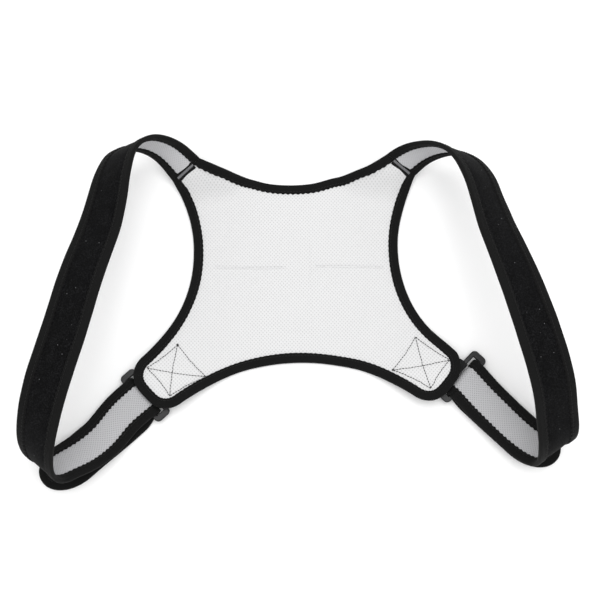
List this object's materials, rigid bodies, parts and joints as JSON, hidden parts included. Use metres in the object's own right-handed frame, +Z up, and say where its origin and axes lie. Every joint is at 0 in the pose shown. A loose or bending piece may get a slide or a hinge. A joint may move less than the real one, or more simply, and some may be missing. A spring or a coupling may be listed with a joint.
{
  "type": "posture corrector",
  "caption": "Padded X-shaped back brace with two shoulder loops, each folded back through a ring under a lower lobe, lying open with its pale lining up.",
  "frame": {"origin": "on the table, under the middle of the whole", "axes": "+Z up, away from the table; +Y to the neck edge; +X to the right shoulder loop as seen from above"},
  "size_m": [0.5646, 0.3672, 0.126],
  "materials": {
    "white_mesh": "pale spacer mesh with fine staggered holes",
    "black_loop_cloth": "matte brushed loop cloth",
    "black_tape": "woven edge tape and webbing, slight sheen",
    "black_hook": "hook tape",
    "black_plastic": "moulded, satin to gloss"
  },
  "bodies": {
    "root": {"panel_lining": "white_mesh", "panel_shell": "black_loop_cloth", "panel_tape_neck": "black_tape", "panel_tape_arms": "black_tape", "strap_lining_left": "white_mesh", "strap_shell_left": "black_loop_cloth", "strap_tape_left": "black_tape", "seam_tape_left": "black_tape", "ring_buckle_left": "black_plastic", "buckle_tab_left": "black_tape", "hook_patch_left": "black_hook", "strap_lining_right": "white_mesh", "strap_shell_right": "black_loop_cloth", "strap_tape_right": "black_tape", "seam_tape_right": "black_tape", "ring_buckle_right": "black_plastic", "buckle_tab_right": "black_tape", "hook_patch_right": "black_hook"}
  },
  "joints": []
}
